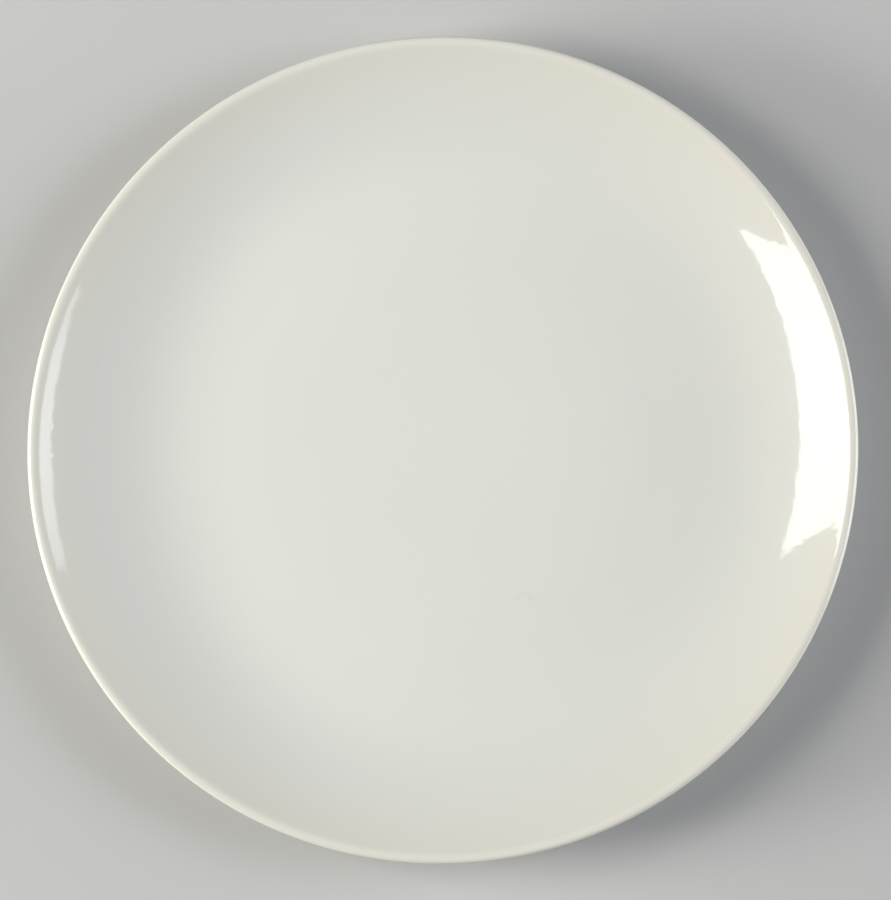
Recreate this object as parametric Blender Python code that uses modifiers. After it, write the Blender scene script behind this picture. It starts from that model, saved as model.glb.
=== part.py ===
"""A plain white coupe salad plate: a porcelain body on a bare foot ring, under two coats of glaze.

The layers are those of the real plate. One coat of glaze runs over the face, round the rim and down the
outside of the foot ring, a second one lines the recess inside it, and its standing edge is left bare.
Every piece is turned about Z. Lengths are in metres, and the foot ring stands on z = 0.
"""

from math import atan2, cos, pi, radians, sin, tan

import bpy

# Overall size of the finished, glazed plate
PLATE_DIAMETER = 0.200
PLATE_HEIGHT = 0.018
WELL_DIAMETER = 0.110  # flat floor of the dish
WELL_THICKNESS = 0.0044  # through the floor, both coats of glaze included

# Rim, seen in section
LIP_RADIUS = 0.0024  # inner side of the rim's crest
EDGE_RADIUS = 0.0014  # outer side of the rim's crest
UNDER_EDGE_RADIUS = 0.0020  # below the plate's widest point

# Foot ring
FOOT_DIAMETER = 0.103  # over the glazed outer wall, carried down to the table
FOOT_WIDTH = 0.0022  # from that wall to the glazed inner one, at the table
FOOT_HEIGHT = 0.0028  # from the table up to the plate's underside
FOOT_DRAFT = radians(10)  # each wall of the ring leans by this, so that the ring widens upwards
FOOT_ROOT_RADIUS = 0.0011  # fillet between the ring and the underside
FOOT_EDGE_RADIUS = 0.0004  # rounding of the bare standing edge

# Glaze
GLAZE_THICKNESS = 0.00022
GLAZE_SEAT = 0.00003  # clearance that keeps the glaze and the body separate solids
GLAZE_ON_FOOT = 0.0007  # how far the glaze runs down the ring's walls, below the fillets

# Fineness of the turned solids
TURN_STEPS = 64
FLANK_STEPS = 5
LIP_STEPS = 2
EDGE_STEPS = 4
UNDER_EDGE_STEPS = 3
ROOT_STEPS = 2
FOOT_EDGE_STEPS = 2
AXIS_MERGE = 0.00001  # welds the points that a turned section has on its axis

# Finishes
GLAZE_COLOUR = (0.79, 0.79, 0.73, 1.0)
GLAZE_ROUGHNESS = 0.06
PORCELAIN_COLOUR = (0.74, 0.71, 0.65, 1.0)
PORCELAIN_ROUGHNESS = 0.75

# Directions of an arc's ends, as angles in the section
UP = pi / 2
OUT = 0.0
DOWN = -pi / 2
IN = pi

# Radii and levels that follow from the sizes above
RIM_RADIUS = PLATE_DIAMETER / 2
WELL_RADIUS = WELL_DIAMETER / 2
WELL_LEVEL = FOOT_HEIGHT + WELL_THICKNESS
CREST_RADIUS = RIM_RADIUS - EDGE_RADIUS
WIDEST_LEVEL = PLATE_HEIGHT - EDGE_RADIUS
FOOT_OUTER = FOOT_DIAMETER / 2
FOOT_INNER = FOOT_OUTER - FOOT_WIDTH
FOOT_WALL_TOP = FOOT_HEIGHT - FOOT_ROOT_RADIUS * (1 - sin(FOOT_DRAFT))
FOOT_ROOT_REACH = FOOT_WALL_TOP * tan(FOOT_DRAFT) + FOOT_ROOT_RADIUS * cos(FOOT_DRAFT)
FOOT_ROOT_LEVEL = FOOT_HEIGHT - FOOT_ROOT_RADIUS
UNDER_FLANK_START = FOOT_OUTER + FOOT_ROOT_REACH
RECESS_RADIUS = FOOT_INNER - FOOT_ROOT_REACH
GLAZE_END_LEVEL = FOOT_WALL_TOP - GLAZE_ON_FOOT
BODY_DEPTH = GLAZE_THICKNESS + GLAZE_SEAT


def flank_arc(run, rise):
    """Radius and end slope of an arc that starts level and climbs this far out and up to meet a small circle.

    The small circle is the rounding at the rim. The radius is the distance between the two circles' centres,
    so the rounding's own radius comes off it where the two bend opposite ways, and adds to it otherwise.
    """
    radius = (run * run + rise * rise) / (2 * rise)
    return radius, atan2(run, radius - rise)


FLANK_REACH, FLANK_SLOPE = flank_arc(CREST_RADIUS - WELL_RADIUS, PLATE_HEIGHT - WELL_LEVEL)
FLANK_RADIUS = FLANK_REACH - LIP_RADIUS
UNDER_FLANK_REACH, UNDER_FLANK_SLOPE = flank_arc(
    RIM_RADIUS - UNDER_EDGE_RADIUS - UNDER_FLANK_START,
    WIDEST_LEVEL - UNDER_EDGE_RADIUS - FOOT_HEIGHT,
)
UNDER_FLANK_RADIUS = UNDER_FLANK_REACH + UNDER_EDGE_RADIUS
UNDER_FLANK_END = DOWN + UNDER_FLANK_SLOPE


def arc(centre_radius, centre_level, radius, start, end, steps):
    """Points (r, z) of an arc about a centre, from one angle to the other, both ends included."""
    angles = [start + (end - start) * i / steps for i in range(steps + 1)]
    return [(centre_radius + radius * cos(a), centre_level + radius * sin(a)) for a in angles]


def upper_skin(depth):
    """The plate's surface in section, sunk by depth: from the well's centre over the rim to the foot ring."""
    well_and_flank = [(0.0, WELL_LEVEL - depth)] + arc(
        WELL_RADIUS, WELL_LEVEL + FLANK_RADIUS, FLANK_RADIUS + depth, DOWN, DOWN + FLANK_SLOPE, FLANK_STEPS
    )
    lip = arc(
        CREST_RADIUS, PLATE_HEIGHT - LIP_RADIUS, LIP_RADIUS - depth, UP + FLANK_SLOPE, UP, LIP_STEPS
    )
    edge = arc(CREST_RADIUS, WIDEST_LEVEL, EDGE_RADIUS - depth, UP, OUT, EDGE_STEPS)
    under_edge = arc(
        RIM_RADIUS - UNDER_EDGE_RADIUS,
        WIDEST_LEVEL,
        UNDER_EDGE_RADIUS - depth,
        OUT,
        UNDER_FLANK_END,
        UNDER_EDGE_STEPS,
    )
    under_flank = arc(
        UNDER_FLANK_START,
        FOOT_HEIGHT + UNDER_FLANK_RADIUS,
        UNDER_FLANK_RADIUS - depth,
        UNDER_FLANK_END,
        DOWN,
        FLANK_STEPS,
    )
    root = arc(
        UNDER_FLANK_START, FOOT_ROOT_LEVEL, FOOT_ROOT_RADIUS + depth, UP, IN - FOOT_DRAFT, ROOT_STEPS
    )
    return well_and_flank + lip[1:] + edge[1:] + under_edge[1:] + under_flank[1:] + root[1:]


def recess_skin(depth):
    """The recess inside the foot ring in section, sunk by depth: from the ring's inner wall to the centre."""
    root = arc(RECESS_RADIUS, FOOT_ROOT_LEVEL, FOOT_ROOT_RADIUS + depth, FOOT_DRAFT, UP, ROOT_STEPS)
    return root + [(0.0, FOOT_HEIGHT + depth)]


def outer_wall(level, depth):
    """Point of the foot ring's outer wall at a level, sunk by depth."""
    return FOOT_OUTER + level * tan(FOOT_DRAFT) - depth / cos(FOOT_DRAFT), level


def inner_wall(level, depth):
    """Point of the foot ring's inner wall at a level, sunk by depth."""
    return FOOT_INNER - level * tan(FOOT_DRAFT) + depth / cos(FOOT_DRAFT), level


def standing_edge(depth):
    """The foot ring's bare standing edge, from its outer wall to its inner one, with both corners rounded."""
    inset = FOOT_EDGE_RADIUS * (1 - sin(FOOT_DRAFT)) / cos(FOOT_DRAFT)
    outer_centre = outer_wall(0.0, depth)[0] - inset
    inner_centre = inner_wall(0.0, depth)[0] + inset
    outer = arc(outer_centre, FOOT_EDGE_RADIUS, FOOT_EDGE_RADIUS, -FOOT_DRAFT, DOWN, FOOT_EDGE_STEPS)
    inner = arc(inner_centre, FOOT_EDGE_RADIUS, FOOT_EDGE_RADIUS, DOWN, FOOT_DRAFT - IN, FOOT_EDGE_STEPS)
    return outer + inner


def body_section():
    """The porcelain body: under the main coat, round the bare standing edge and under the recess's coat."""
    return upper_skin(BODY_DEPTH) + standing_edge(BODY_DEPTH) + recess_skin(BODY_DEPTH)


def coat_section():
    """The main coat of glaze: down its glossy side to the foot ring, and back along the side on the body."""
    glossy = upper_skin(0.0) + [outer_wall(GLAZE_END_LEVEL, 0.0)]
    bonded = upper_skin(GLAZE_THICKNESS) + [outer_wall(GLAZE_END_LEVEL, GLAZE_THICKNESS)]
    return glossy + bonded[::-1]


def recess_coat_section():
    """The recess's coat: from the centre along the side on the body, and back along its glossy side."""
    bonded = [inner_wall(GLAZE_END_LEVEL, GLAZE_THICKNESS)] + recess_skin(GLAZE_THICKNESS)
    glossy = [inner_wall(GLAZE_END_LEVEL, 0.0)] + recess_skin(0.0)
    return bonded[::-1] + glossy


def make_material(name, colour, roughness):
    material = bpy.data.materials.new(name)
    material.use_nodes = True
    shader = material.node_tree.nodes["Principled BSDF"]
    shader.inputs["Base Color"].default_value = colour
    shader.inputs["Roughness"].default_value = roughness
    shader.inputs["Metallic"].default_value = 0.0
    return material


def turn(name, section, material):
    """A solid of revolution about Z, from a section of (r, z) points that runs down its outer side."""
    mesh = bpy.data.meshes.new(name)
    edges = [(i, i + 1) for i in range(len(section) - 1)]
    mesh.from_pydata([(r, 0.0, z) for r, z in section], edges, [])
    mesh.materials.append(material)
    piece = bpy.data.objects.new(name, mesh)
    screw = piece.modifiers.new("Turn", "SCREW")
    screw.axis = "Z"
    screw.angle = 2 * pi
    screw.steps = TURN_STEPS
    screw.render_steps = TURN_STEPS
    screw.use_merge_vertices = True
    screw.merge_threshold = AXIS_MERGE
    screw.use_smooth_shade = True
    return piece


def clear_scene():
    for obj in list(bpy.data.objects):
        bpy.data.objects.remove(obj, do_unlink=True)


def main():
    clear_scene()
    plate = bpy.data.collections.new("salad_plate")
    bpy.context.scene.collection.children.link(plate)
    table_point = bpy.data.objects.new("foot_ring_centre", None)
    plate.objects.link(table_point)

    porcelain = make_material("bare_porcelain", PORCELAIN_COLOUR, PORCELAIN_ROUGHNESS)
    coat_glaze = make_material("coat_glaze", GLAZE_COLOUR, GLAZE_ROUGHNESS)
    recess_glaze = make_material("recess_glaze", GLAZE_COLOUR, GLAZE_ROUGHNESS)
    pieces = [
        turn("porcelain_body", body_section(), porcelain),
        turn("glaze_coat", coat_section(), coat_glaze),
        turn("foot_recess_glaze", recess_coat_section(), recess_glaze),
    ]
    for piece in pieces:
        plate.objects.link(piece)
        piece.parent = table_point


main()
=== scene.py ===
from math import atan, atan2, cos, pi, radians, sin, tan

import bpy
from mathutils import Matrix, Vector


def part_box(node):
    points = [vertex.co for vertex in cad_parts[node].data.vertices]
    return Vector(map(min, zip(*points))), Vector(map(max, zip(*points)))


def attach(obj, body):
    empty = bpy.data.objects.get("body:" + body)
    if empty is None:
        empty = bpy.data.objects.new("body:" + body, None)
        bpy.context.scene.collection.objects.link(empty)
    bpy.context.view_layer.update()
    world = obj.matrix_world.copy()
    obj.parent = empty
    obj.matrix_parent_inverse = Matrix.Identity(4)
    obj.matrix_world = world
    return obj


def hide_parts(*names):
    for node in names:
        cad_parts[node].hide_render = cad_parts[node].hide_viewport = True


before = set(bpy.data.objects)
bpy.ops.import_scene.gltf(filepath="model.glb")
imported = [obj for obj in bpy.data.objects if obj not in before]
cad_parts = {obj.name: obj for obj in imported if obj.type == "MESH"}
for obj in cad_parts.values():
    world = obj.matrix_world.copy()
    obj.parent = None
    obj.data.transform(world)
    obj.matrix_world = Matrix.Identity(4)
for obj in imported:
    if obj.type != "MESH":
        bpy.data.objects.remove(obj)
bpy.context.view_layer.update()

# Porcelain body: one piece of white clay, pressed over a turning mould, trimmed at the foot and fired hard.
# Glaze covers all of it but the standing edge of its foot ring, which is wiped clean before the firing,
# so that the plate doesn't stick to the kiln shelf, and is ground smooth after it.
coat_low, coat_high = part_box("glaze_coat")
_, body_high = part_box("porcelain_body")

RIM_RADIUS = coat_high.x
PLATE_HEIGHT = coat_high.z
BODY_DEPTH = RIM_RADIUS - body_high.x  # the body lies this far under the finished surface
GLAZE_END_LEVEL = coat_low.z  # where the glaze stops on the foot ring

# The rim in section, as arcs that lead away from its crest: radius, and the slope that each ends at
LIP_ARCS = (
    (0.0024, radians(20.7)),
    (0.0095, radians(24.0)),
    (0.017, radians(25.6)),
    (0.045, radians(26.7)),  # the steepest part of the face
)
EDGE_ARCS = ((0.0017, radians(17)), (0.00092, radians(90)))
UNDER_EDGE_RADIUS = 0.0020  # below the plate's widest point

# The flank in section, from the lip down towards the well: radius, and the slope that each arc ends at
FLANK_ARCS = ((0.093, radians(16.2)), (0.068, radians(4.5)), (0.131, radians(1.7)), (0.76, radians(1.4)))

FOOT_OUTER = 0.0515  # the glazed outer wall, carried down to the table
FOOT_WIDTH = 0.0022  # from that wall to the glazed inner one, at the table
FOOT_HEIGHT = 0.0028  # from the table up to the plate's underside
FOOT_DRAFT = radians(10)  # each wall of the ring leans by this, so that the ring widens upwards
FOOT_ROOT_RADIUS = 0.0011  # fillet between the ring and the underside
FOOT_EDGE_RADIUS = 0.0004  # rounding of the bare standing edge
FOOT_WALL_TOP = FOOT_HEIGHT - FOOT_ROOT_RADIUS * (1 - sin(FOOT_DRAFT))
FOOT_ROOT_REACH = FOOT_WALL_TOP * tan(FOOT_DRAFT) + FOOT_ROOT_RADIUS * cos(FOOT_DRAFT)

FLOOR_SAG = 0.00077  # the floor sags by this much in the kiln, inside the ring that holds up its edge
RIM_WARP = 0.00005  # the kiln lifts and lowers the rim by this much
WARP_WAVES = ((2, -0.9, 1.0), (3, 1.7, 0.5))  # waves round the rim: how many, the first one's angle, share

# Fineness of the mesh, round the plate and along each stretch of a section
TURN_STEPS = 256
WELL_STEPS = 28
FLANK_STEPS = 18
UNDER_FLANK_STEPS = 44
LIP_STEPS = 8
EDGE_STEPS = 10
ROOT_STEPS = 8
WALL_STEPS = 3
FOOT_EDGE_STEPS = 6
HIDDEN_STRIDE = 3  # a face that another piece hides keeps every third point of its section
ON_AXIS = 1e-7  # a point that is nearer to the axis than this lies on it

# Headings of a section line, as angles
OUT = 0.0
DOWN = -pi / 2
IN = -pi
UP = -3 * pi / 2


def run_on(line, length, steps):
    """Carries a section line of (r, z, heading) points straight on."""
    r, z, heading = line[-1]
    for step in range(1, steps + 1):
        gone = length * step / steps
        line.append((r + gone * cos(heading), z + gone * sin(heading), heading))


def bend_on(line, radius, heading, steps):
    """Carries a section line on along an arc, until it points along a new heading."""
    r, z, first = line[-1]
    side = 1 if heading > first else -1
    centre_r = r - side * radius * sin(first)
    centre_z = z + side * radius * cos(first)
    for step in range(1, steps + 1):
        now = first + (heading - first) * step / steps
        line.append((centre_r + side * radius * sin(now), centre_z - side * radius * cos(now), now))


def edge_line(line):
    """Carries a section line that stands on the rim's crest on to the plate's widest point."""
    for radius, slope in EDGE_ARCS:
        bend_on(line, radius, OUT - slope, EDGE_STEPS)
    return line


edge_reach, edge_drop, _ = edge_line([(0.0, 0.0, OUT)])[-1]
CREST_RADIUS = RIM_RADIUS - edge_reach
WIDEST_LEVEL = PLATE_HEIGHT + edge_drop


def floor_line(line):
    """Carries a section line inwards to the axis, over the sagging floor."""
    first, level, _ = line[-1]
    for step in range(1, WELL_STEPS + 1):
        r = first * (1 - step / WELL_STEPS)
        share = (r / FOOT_OUTER) ** 2
        sag = FLOOR_SAG * ((1 - share) ** 2 - (1 - (first / FOOT_OUTER) ** 2) ** 2)
        slope = 4 * FLOOR_SAG * r / FOOT_OUTER**2 * (1 - share)
        line.append((r, level - sag, IN + atan(slope)))
    return line


def face_line():
    """The finished face from the well's centre to the rim's crest, traced from the crest and turned round."""
    line = [(CREST_RADIUS, PLATE_HEIGHT, IN)]
    for radius, slope in LIP_ARCS:
        bend_on(line, radius, IN + slope, LIP_STEPS)
    for radius, slope in FLANK_ARCS:
        bend_on(line, radius, IN + slope, FLANK_STEPS)
    last_radius = (line[-1][0] - FOOT_OUTER) / sin(line[-1][2] - IN)
    bend_on(line, last_radius, IN, FLANK_STEPS)
    return [(r, z, heading + pi) for r, z, heading in reversed(floor_line(line))]


def under_line():
    """The finished underside from the rim's crest, over the edge and down to the glaze's end on the foot."""
    start = FOOT_OUTER + FOOT_ROOT_REACH
    run = RIM_RADIUS - UNDER_EDGE_RADIUS - start
    rise = WIDEST_LEVEL - UNDER_EDGE_RADIUS - FOOT_HEIGHT
    reach = (run * run + rise * rise) / (2 * rise)
    line = edge_line([(CREST_RADIUS, PLATE_HEIGHT, OUT)])
    bend_on(line, UNDER_EDGE_RADIUS, IN + atan2(run, reach - rise), EDGE_STEPS)
    bend_on(line, reach + UNDER_EDGE_RADIUS, IN, UNDER_FLANK_STEPS)
    bend_on(line, FOOT_ROOT_RADIUS, DOWN - FOOT_DRAFT, ROOT_STEPS)
    run_on(line, (FOOT_WALL_TOP - GLAZE_END_LEVEL) / cos(FOOT_DRAFT), WALL_STEPS)
    return line


def recess_line():
    """The finished recess from where its glaze stops on the foot ring's inner wall to its centre."""
    start = FOOT_OUTER - FOOT_WIDTH - GLAZE_END_LEVEL * tan(FOOT_DRAFT)
    line = [(start, GLAZE_END_LEVEL, UP + FOOT_DRAFT)]
    run_on(line, (FOOT_WALL_TOP - GLAZE_END_LEVEL) / cos(FOOT_DRAFT), WALL_STEPS)
    bend_on(line, FOOT_ROOT_RADIUS, IN, ROOT_STEPS)
    return floor_line(line)


def sunk(line, depth):
    """A section line moved into the clay by a depth."""
    return [(max(r + depth * sin(h), 0.0), z - depth * cos(h), h) for r, z, h in line]


def thinned(line):
    """A section line with fewer points, its two ends kept."""
    return line[:-1:HIDDEN_STRIDE] + line[-1:]


def standing_edge(start):
    """The bare standing edge, carried on from the body's outer wall to the height of the recess's glaze."""
    corner_rise = FOOT_EDGE_RADIUS * (1 - sin(FOOT_DRAFT))
    corner_reach = corner_rise / cos(FOOT_DRAFT)
    flat = FOOT_WIDTH - 2 * (BODY_DEPTH / cos(FOOT_DRAFT) + corner_reach)
    line = [start]
    run_on(line, (start[1] - corner_rise) / cos(FOOT_DRAFT), WALL_STEPS)
    bend_on(line, FOOT_EDGE_RADIUS, IN, FOOT_EDGE_STEPS)
    run_on(line, flat, WALL_STEPS)
    bend_on(line, FOOT_EDGE_RADIUS, UP + FOOT_DRAFT, FOOT_EDGE_STEPS)
    return line[1:]


def fired(r, z, angle):
    """Where firing leaves a point of the turned form: the rim warps a little, and the foot stays flat."""
    out = max(0.0, (r - FOOT_OUTER) / (RIM_RADIUS - FOOT_OUTER))
    warp = sum(share * cos(count * angle + start) for count, start, share in WARP_WAVES)
    return r * cos(angle), r * sin(angle), z + RIM_WARP * out * out * warp


def turned(name, section, material, settle=fired):
    """A closed smooth mesh, turned about Z from a section that starts and ends on the axis."""
    corners = []
    rings = []
    for r, z, _ in section:
        turns = TURN_STEPS if r > ON_AXIS else 1
        first = len(corners)
        corners += [settle(r, z, 2 * pi * step / TURN_STEPS) for step in range(turns)]
        rings.append([first + step % turns for step in range(TURN_STEPS + 1)])
    faces = []
    for ring, after in zip(rings, rings[1:]):
        for step in range(TURN_STEPS):
            corner = (ring[step], after[step], after[step + 1], ring[step + 1])
            faces.append(tuple(dict.fromkeys(corner)))
    mesh = bpy.data.meshes.new(name)
    mesh.from_pydata(corners, [], faces)
    mesh.shade_smooth()
    mesh.materials.append(material)
    piece = bpy.data.objects.new(name, mesh)
    bpy.context.scene.collection.objects.link(piece)
    return piece


def add_node(tree, kind, inputs, **settings):
    """A new node with its settings, and with a value or a link for each input that is named."""
    node = tree.nodes.new(kind)
    for name, value in settings.items():
        setattr(node, name, value)
    for name, value in inputs.items():
        if isinstance(value, bpy.types.NodeSocket):
            tree.links.new(value, node.inputs[name])
        else:
            node.inputs[name].default_value = value
    return node


def calculate(tree, operation, *values):
    """The result of an operation on numbers, each of them a value or a link."""
    return add_node(tree, "ShaderNodeMath", dict(enumerate(values)), operation=operation).outputs[0]


def noise(tree, place, scale, detail=2.0):
    """Soft random values from 0 to 1, with about this many lumps to a metre."""
    inputs = {"Vector": place, "Scale": scale, "Detail": detail}
    return add_node(tree, "ShaderNodeTexNoise", inputs).outputs[0]


def mix_colours(tree, share, first, second):
    """The first of two colours where the share is 0, and the second where it is 1."""
    inputs = {0: share, 6: first, 7: second}  # sockets for other kinds of value lie between these
    return add_node(tree, "ShaderNodeMix", inputs, data_type="RGBA").outputs[2]


def remap(tree, value, span, ends=(0.0, 1.0)):
    """A value within a span, eased over to another range and held at its ends."""
    inputs = {"Value": value, "From Min": span[0], "From Max": span[1], "To Min": ends[0], "To Max": ends[1]}
    return add_node(tree, "ShaderNodeMapRange", inputs, interpolation_type="SMOOTHSTEP").outputs[0]


def new_material(name):
    """An empty material with its node tree, its shader and the place on the plate that its patterns use."""
    material = bpy.data.materials.new(name)
    material.use_nodes = True
    tree = material.node_tree
    shader = tree.nodes["Principled BSDF"]
    place = add_node(tree, "ShaderNodeTexCoord", {}).outputs["Object"]
    return material, tree, shader, place


BARE_CLAY = (0.74, 0.70, 0.63, 1.0)
BARE_CLAY_LIGHT = (0.80, 0.77, 0.71, 1.0)
CLAY_ROUGHNESS = (0.62, 0.84)
CLAY_GRAIN = 2600  # lumps to a metre
CLAY_GRAIN_DETAIL = 3.0
CLAY_GRAIN_HEIGHT = 0.00002
CLAY_GRAIN_STRENGTH = 0.6
GRAIN_TINT_SPAN = (0.3, 0.7)  # values of the grain over which the clay's colour changes
GRAIN_ROUGHNESS_SPAN = (0.2, 0.8)  # and over which its roughness does
TABLE_GREY = (0.42, 0.41, 0.39, 1.0)  # metal and dirt that tables and other plates leave on the ring
SCUFF_CLOUDS = 260  # lumps to a metre
SCUFF_SPAN = (0.42, 0.62)  # values of the clouds over which a scuff comes in
SCUFF_HEIGHT = 0.00022  # no scuff reaches higher above the table
SCUFF_SHARE = 0.35  # how much of the clay's colour a scuff covers


def bare_porcelain():
    """Fired clay without glaze: matt and fine-grained, grey where it has stood on tables."""
    material, tree, shader, place = new_material("bare_porcelain")
    grain = noise(tree, place, CLAY_GRAIN, CLAY_GRAIN_DETAIL)
    clouds = noise(tree, place, SCUFF_CLOUDS)
    colour = mix_colours(tree, remap(tree, grain, GRAIN_TINT_SPAN), BARE_CLAY, BARE_CLAY_LIGHT)
    height = add_node(tree, "ShaderNodeSeparateXYZ", {0: place}).outputs["Z"]
    low = remap(tree, height, (0.0, SCUFF_HEIGHT), (SCUFF_SHARE, 0.0))
    scuffs = calculate(tree, "MULTIPLY", low, remap(tree, clouds, SCUFF_SPAN))
    colour = mix_colours(tree, scuffs, colour, TABLE_GREY)
    rough = remap(tree, grain, GRAIN_ROUGHNESS_SPAN, CLAY_ROUGHNESS)
    bumps = {"Height": grain, "Strength": CLAY_GRAIN_STRENGTH, "Distance": CLAY_GRAIN_HEIGHT}
    bump = add_node(tree, "ShaderNodeBump", bumps)
    tree.links.new(colour, shader.inputs["Base Color"])
    tree.links.new(rough, shader.inputs["Roughness"])
    tree.links.new(bump.outputs[0], shader.inputs["Normal"])
    return material


body_face = sunk(thinned(face_line()) + thinned(under_line())[1:], BODY_DEPTH)
body_recess = sunk(recess_line(), BODY_DEPTH)
body_section = body_face + standing_edge(body_face[-1]) + body_recess
porcelain_body = turned("porcelain_body.look", body_section, bare_porcelain())
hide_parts("porcelain_body")
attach(porcelain_body, "root")

# Glaze coat: the slightly warm white glass over the face, the rim, the underside and the foot ring's outside.
# The plate is dipped in it and fired again. It flows level in the well and ends in a round bead on the ring.
# Its colour carries painted shade on the flank and a painted glow at the rim's outermost edge.
# A few specks, two pinholes and a faint stain stay in it.
GLAZE_THICKNESS = 0.00022
GLAZE_WANDER = 0.00012  # the glaze's end wanders up and down the foot ring by this
WANDER_WAVES = ((3, 0.4, 1.0), (7, 2.1, 0.6), (17, 4.0, 0.35))  # how many, the first one's angle, share
WANDER_LOW = sum(share for _, _, share in WANDER_WAVES)  # the waves go no further down than this
FOOT_MIDDLE = FOOT_OUTER - FOOT_WIDTH / 2

POOLED_WHITE = (0.802, 0.805, 0.745, 1.0)
POOLED_WHITE_COOL = (0.793, 0.80, 0.74, 1.0)
# painted shade: the flank's white is darker than the well's, which deepens the flank's shading
FLANK_WHITE_PAINTED_SHADE = (0.764, 0.765, 0.707, 1.0)
RIM_CREAM = (0.766, 0.752, 0.668, 1.0)
# partly painted light: the rim's cream, painted lighter at the outermost edge as a painted glow
EDGE_CREAM_AND_PAINTED_GLOW = (0.808, 0.794, 0.706, 1.0)
# Distances from the axis over which each tint takes over from the one inside it
TINT_SPANS = ((FLANK_WHITE_PAINTED_SHADE, (0.063, 0.088)), (RIM_CREAM, (0.084, 0.0975)), (EDGE_CREAM_AND_PAINTED_GLOW, (0.0970, 0.0985)))

GLAZE_REFRACTION = 1.5
GLAZE_ROUGHNESS = (0.035, 0.06)
BLOOM_WEIGHT = 0.20  # a faint bloom on the glaze blurs this much of what it mirrors
BLOOM_ROUGHNESS = 0.35
GLAZE_CLOUDS = 34  # lumps to a metre
CLOUD_TINT_SPAN = (0.35, 0.65)  # values of the clouds over which the glaze's colour changes
CLOUD_ROUGHNESS_SPAN = (0.3, 0.7)  # and over which its roughness does
GLAZE_RIPPLE = 240  # lumps to a metre
GLAZE_RIPPLE_HEIGHT = 0.00003

SPECK_GREY = (0.50, 0.48, 0.42, 1.0)
SPECK_SHARE = 0.35  # how much of the glaze's colour a speck covers
STAIN_TAN = (0.73, 0.69, 0.45, 1.0)
STAIN_SHARE = 0.30
PINHOLE_DEPTH = 0.00003

# Angle about Z in degrees, distance from the axis and radius of each mark
SPECKS = ((166.4, 0.0859, 0.00042), (150.0, 0.0872, 0.00032), (-177.2, 0.0877, 0.00030))
STAINS = (
    (-63.8, 0.0403, 0.0011),
    (-62.3, 0.0403, 0.0010),
    (-60.5, 0.0403, 0.0009),
    (-59.7, 0.0410, 0.0010),
    (-59.3, 0.0421, 0.0011),
)
PINHOLES = ((176.8, 0.0940, 0.0007), (-178.9, 0.0939, 0.0008))


def on_face(angle, reach):
    """The point of the face at an angle and a distance from the axis."""
    _, z, _ = min(face_line(), key=lambda point: abs(point[0] - reach))
    return reach * cos(radians(angle)), reach * sin(radians(angle)), z


def marks(tree, place, spots):
    """1 at the middle of each of these spots, and 0 away from them."""
    total = 0.0
    for angle, reach, radius in spots:
        ends = {0: place, 1: on_face(angle, reach)}
        away = add_node(tree, "ShaderNodeVectorMath", ends, operation="DISTANCE").outputs["Value"]
        spot = remap(tree, away, (0.0, radius), (1.0, 0.0))
        total = calculate(tree, "MAXIMUM", total, spot)
    return total


def from_axis(tree, place):
    """How far a place on the plate is from its axis."""
    plan = add_node(tree, "ShaderNodeVectorMath", {0: place, 1: (1.0, 1.0, 0.0)}, operation="MULTIPLY")
    return add_node(tree, "ShaderNodeVectorMath", {0: plan.outputs[0]}, operation="LENGTH").outputs["Value"]


def white_glaze():
    """Glossy white glaze: nearly even, faint clouds, painted shade on the flank, cream at the rim, a painted
    glow at its edge, small faults of the firing.
    """
    material, tree, shader, place = new_material("white_glaze")
    reach = from_axis(tree, place)
    clouds = noise(tree, place, GLAZE_CLOUDS)
    colour = mix_colours(tree, remap(tree, clouds, CLOUD_TINT_SPAN), POOLED_WHITE, POOLED_WHITE_COOL)
    # the flank's painted shade and the edge's painted glow come in here, with the rim's own cream
    for tint, span in TINT_SPANS:
        colour = mix_colours(tree, remap(tree, reach, span), colour, tint)
    specks = calculate(tree, "MULTIPLY", marks(tree, place, SPECKS), SPECK_SHARE)
    colour = mix_colours(tree, specks, colour, SPECK_GREY)
    stains = calculate(tree, "MULTIPLY", marks(tree, place, STAINS), STAIN_SHARE)
    colour = mix_colours(tree, stains, colour, STAIN_TAN)
    rough = remap(tree, clouds, CLOUD_ROUGHNESS_SPAN, GLAZE_ROUGHNESS)
    ripple = noise(tree, place, GLAZE_RIPPLE)
    waves = {"Height": ripple, "Strength": 1.0, "Distance": GLAZE_RIPPLE_HEIGHT}
    wavy = add_node(tree, "ShaderNodeBump", waves).outputs[0]
    holes = {
        "Height": marks(tree, place, PINHOLES),
        "Strength": 1.0,
        "Distance": PINHOLE_DEPTH,
        "Normal": wavy,
    }
    pitted = add_node(tree, "ShaderNodeBump", holes, invert=True).outputs[0]
    tree.links.new(colour, shader.inputs["Base Color"])
    tree.links.new(rough, shader.inputs["Roughness"])
    tree.links.new(pitted, shader.inputs["Normal"])
    shader.inputs["IOR"].default_value = GLAZE_REFRACTION
    shader.inputs["Coat Weight"].default_value = BLOOM_WEIGHT
    shader.inputs["Coat Roughness"].default_value = BLOOM_ROUGHNESS
    shader.inputs["Coat IOR"].default_value = GLAZE_REFRACTION
    return material


def run_glaze(r, z, angle):
    """Where the glaze settles: it follows the fired body, and its end on the foot ring wanders."""
    down = (FOOT_WALL_TOP - z) / (FOOT_WALL_TOP - GLAZE_END_LEVEL)
    if down > 0:
        wander = sum(share * sin(count * angle + start) for count, start, share in WANDER_WAVES)
        climb = GLAZE_WANDER * (wander + WANDER_LOW) / 2 * down
        side = 1 if r > FOOT_MIDDLE else -1
        z += climb
        r += side * climb * tan(FOOT_DRAFT)
    return fired(r, z, angle)


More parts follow.
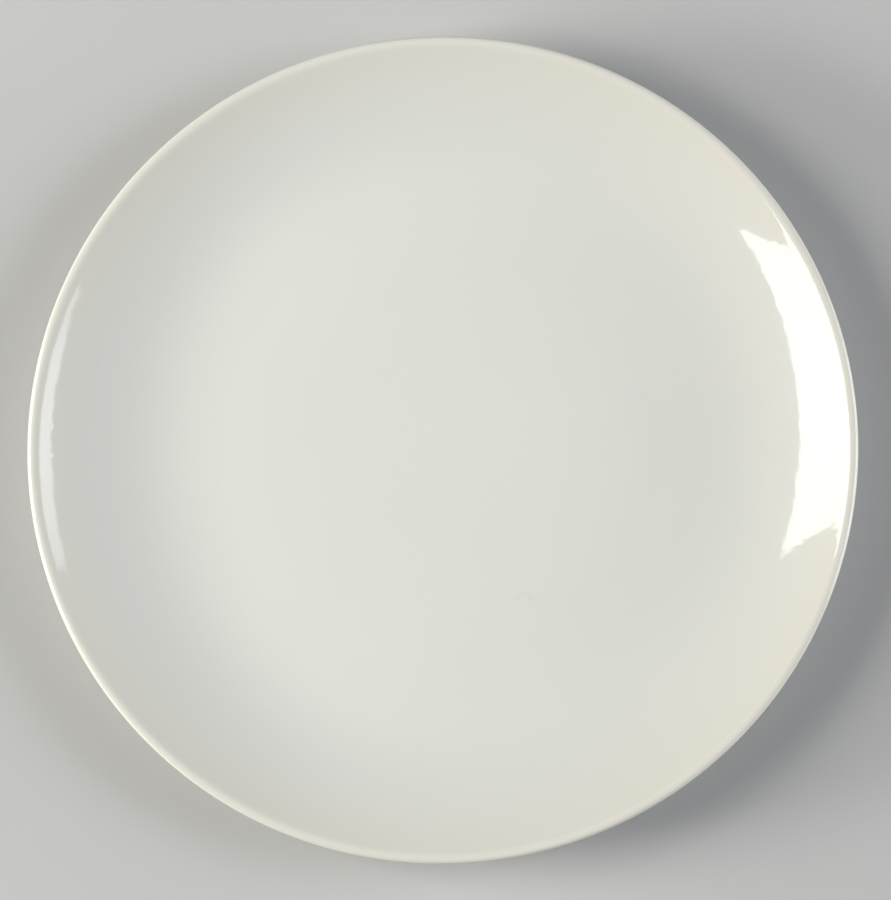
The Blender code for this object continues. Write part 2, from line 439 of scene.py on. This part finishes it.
# Its section runs along the glossy side to the bead at its end, and back along the side on the clay
glaze = white_glaze()
coat_glossy = face_line() + under_line()[1:]
bend_on(coat_glossy, GLAZE_THICKNESS / 2, coat_glossy[-1][2] - pi, FOOT_EDGE_STEPS)
coat_bonded = sunk(thinned(face_line()) + thinned(under_line())[1:], GLAZE_THICKNESS)
coat_section = coat_glossy + coat_bonded[-2::-1]
glaze_coat = turned("glaze_coat.look", coat_section, glaze, run_glaze)
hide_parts("glaze_coat")
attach(glaze_coat, "root")

# Foot recess glaze: the round pool of the same glaze inside the foot ring, on the plate's underside.
# It comes from the same dip as the coat, and wiping the ring's standing edge clean parts the two.
# It ends in the same round bead on the ring's inner wall.
recess_bonded = sunk(recess_line(), GLAZE_THICKNESS)
recess_end = [(*recess_bonded[0][:2], recess_bonded[0][2] + pi)]
bend_on(recess_end, GLAZE_THICKNESS / 2, recess_bonded[0][2], FOOT_EDGE_STEPS)
recess_section = recess_bonded[::-1] + recess_end[1:-1] + recess_line()
foot_recess_glaze = turned("foot_recess_glaze.look", recess_section, glaze, run_glaze)
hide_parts("foot_recess_glaze")
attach(foot_recess_glaze, "root")

# Floor: a sheet of plain pale grey paper, matt and faintly clouded, that the plate stands on.
# It lies flat at the level of the foot ring's standing edge, is no part of the plate,
# and is wide enough to fill the picture from any side.
FLOOR_HALF = 4.0
FLOOR_GREY = (0.57, 0.57, 0.56, 1.0)
FLOOR_GREY_DARK = (0.55, 0.55, 0.54, 1.0)
FLOOR_CLOUDS = 12  # lumps to a metre
FLOOR_ROUGHNESS = 0.85


def floor_paper():
    """Matt paper, with faint clouds in its grey."""
    material, tree, shader, place = new_material("floor_paper")
    clouds = noise(tree, place, FLOOR_CLOUDS)
    tree.links.new(mix_colours(tree, clouds, FLOOR_GREY, FLOOR_GREY_DARK), shader.inputs["Base Color"])
    shader.inputs["Roughness"].default_value = FLOOR_ROUGHNESS
    return material


floor_mesh = bpy.data.meshes.new("floor")
floor_corners = [(x * FLOOR_HALF, y * FLOOR_HALF, 0.0) for x, y in ((-1, -1), (1, -1), (1, 1), (-1, 1))]
floor_mesh.from_pydata(floor_corners, [], [(0, 1, 2, 3)])
floor_mesh.materials.append(floor_paper())
floor = bpy.data.objects.new("floor", floor_mesh)
bpy.context.scene.collection.objects.link(floor)

# Light: a bright softbox high on the plate's left and a taller, dimmer one on its right, in a dark room.
# Their cloth draws in between its corners, so the highlights that they leave on the flank have hollow
# edges. Below each of them stands a low softbox that lights the rim's edge.
EDGE_BLUR = 0.004  # a softbox's upper edge is blurred over this share of its height
KEY_COLOUR = (1.007, 0.997, 0.962)
FILL_COLOUR = (0.99, 1.01, 1.075)
ROOM_GREY = (0.02, 0.02, 0.02, 1.0)


def softbox(name, azimuth, zenith, distance, sides, ends, power, colour, border, hollow=0.0, fade=1.0):
    """A rectangular light that faces the plate, with sides and ends as its edges' places on its own plane.

    Border is the share of its brightness that is left at its sides, where the middle has all of it.
    Hollow is how far its upper edge draws in halfway between the corners. Fade is the brightness of
    its lower end as a share of its upper end's, and is over 1 where the lower end is the brighter one.
    """
    towards = Vector((sin(zenith) * cos(azimuth), sin(zenith) * sin(azimuth), cos(zenith)))
    across = Vector((0, 0, 1)).cross(towards).normalized()
    up = towards.cross(across)
    lamp = bpy.data.lights.new(name, "AREA")
    lamp.shape = "RECTANGLE"
    lamp.size = sides[1] - sides[0]
    lamp.size_y = ends[1] - ends[0]
    lamp.energy = power
    lamp.color = colour
    lamp.use_nodes = True
    tree = lamp.node_tree
    cloth = add_node(tree, "ShaderNodeNewGeometry", {}).outputs["Parametric"]
    place = add_node(tree, "ShaderNodeSeparateXYZ", {0: cloth}).outputs
    to_side = calculate(tree, "SUBTRACT", 1.0, place["X"])
    # 1 halfway between the sides, and 0 at each of them
    middle = calculate(tree, "MULTIPLY", calculate(tree, "MULTIPLY", place["X"], to_side), 4.0)
    drawn_in = calculate(tree, "MULTIPLY", middle, hollow / lamp.size_y)
    height = calculate(tree, "ADD", place["Y"], drawn_in)
    inside = remap(tree, height, (1.0 - EDGE_BLUR, 1.0), (1.0, 0.0))
    faded = calculate(tree, "MULTIPLY_ADD", place["Y"], 1.0 - fade, fade)
    bulge = calculate(tree, "MULTIPLY_ADD", middle, 1.0 - border, border)
    glow = calculate(tree, "MULTIPLY", calculate(tree, "MULTIPLY", inside, faded), bulge)
    tree.links.new(glow, tree.nodes["Emission"].inputs["Strength"])
    box = bpy.data.objects.new(name, lamp)
    centre = towards * distance + across * (sides[0] + sides[1]) / 2 + up * (ends[0] + ends[1]) / 2
    box.matrix_world = Matrix.Translation(centre) @ Matrix((across, up, towards)).transposed().to_4x4()
    bpy.context.scene.collection.objects.link(box)


softbox(
    "key_softbox",
    azimuth=radians(181.4),
    zenith=radians(32.3),
    distance=1.2,
    sides=(-0.329, 0.270),
    ends=(-0.6, 0.0108),
    power=9.06,
    colour=KEY_COLOUR,
    border=0.95,
    hollow=0.0435,
)
softbox(
    "low_key_softbox",
    azimuth=radians(186.0),
    zenith=radians(72.1),
    distance=1.562,
    sides=(-0.329, 0.270),
    ends=(-0.154, 0.154),
    power=22.0,
    colour=KEY_COLOUR,
    border=0.8,
)
softbox(
    "fill_softbox",
    azimuth=radians(-3.1),
    zenith=radians(44.0),
    distance=1.8,
    sides=(-0.318, 0.685),
    ends=(-0.62, 0.191),
    power=12.6,
    colour=FILL_COLOUR,
    border=0.58,
    hollow=0.0315,
    fade=1.5,
)
softbox(
    "low_fill_softbox",
    azimuth=radians(-3.1),
    zenith=radians(78.2),
    distance=2.177,
    sides=(-0.6, 1.3),
    ends=(-0.25, 0.25),
    power=31.0,
    colour=FILL_COLOUR,
    border=0.3,
)

room = bpy.data.worlds.new("room")
room.use_nodes = True
room.node_tree.nodes["Background"].inputs["Color"].default_value = ROOM_GREY
bpy.context.scene.world = room

# Camera: it hangs high over the plate, where the photograph was taken from, and has a long lens.
# It leans from the plate's axis to the lower right, so that the rim shows as not quite a circle,
# and it aims beside the rim's centre, which puts the plate where the photograph has it.
CAMERA_TILT = radians(6.6)  # away from the plate's axis
CAMERA_LEAN = Vector((0.452, -0.892, 0.0)).normalized()  # the way it tilts
CAMERA_DISTANCE = 0.9
CAMERA_LENS = 149.75  # millimetres, as is the sensor's width
CAMERA_SENSOR = 36.0
AIM_RIGHT = 0.00118  # from the rim's centre, as seen in the picture
AIM_DOWN = 0.00101


def picture_axes(back):
    """The picture's right and its upward direction, for a camera whose back points this way."""
    right = Vector((0, 1, 0)).cross(back).normalized()
    return right, back.cross(right)


rim_centre = Vector((0.0, 0.0, WIDEST_LEVEL))
back = CAMERA_LEAN * sin(CAMERA_TILT) + Vector((0, 0, cos(CAMERA_TILT)))
right, above = picture_axes(back)
stand = rim_centre + back * CAMERA_DISTANCE
aim = rim_centre + right * AIM_RIGHT - above * AIM_DOWN
back = (stand - aim).normalized()
right, above = picture_axes(back)
lens = bpy.data.cameras.new("camera")
lens.lens = CAMERA_LENS
lens.sensor_width = CAMERA_SENSOR
camera = bpy.data.objects.new("camera", lens)
camera.matrix_world = Matrix.Translation(stand) @ Matrix((right, above, back)).transposed().to_4x4()
bpy.context.scene.collection.objects.link(camera)
bpy.context.scene.camera = camera
bpy.context.scene.view_settings.view_transform = "Standard"
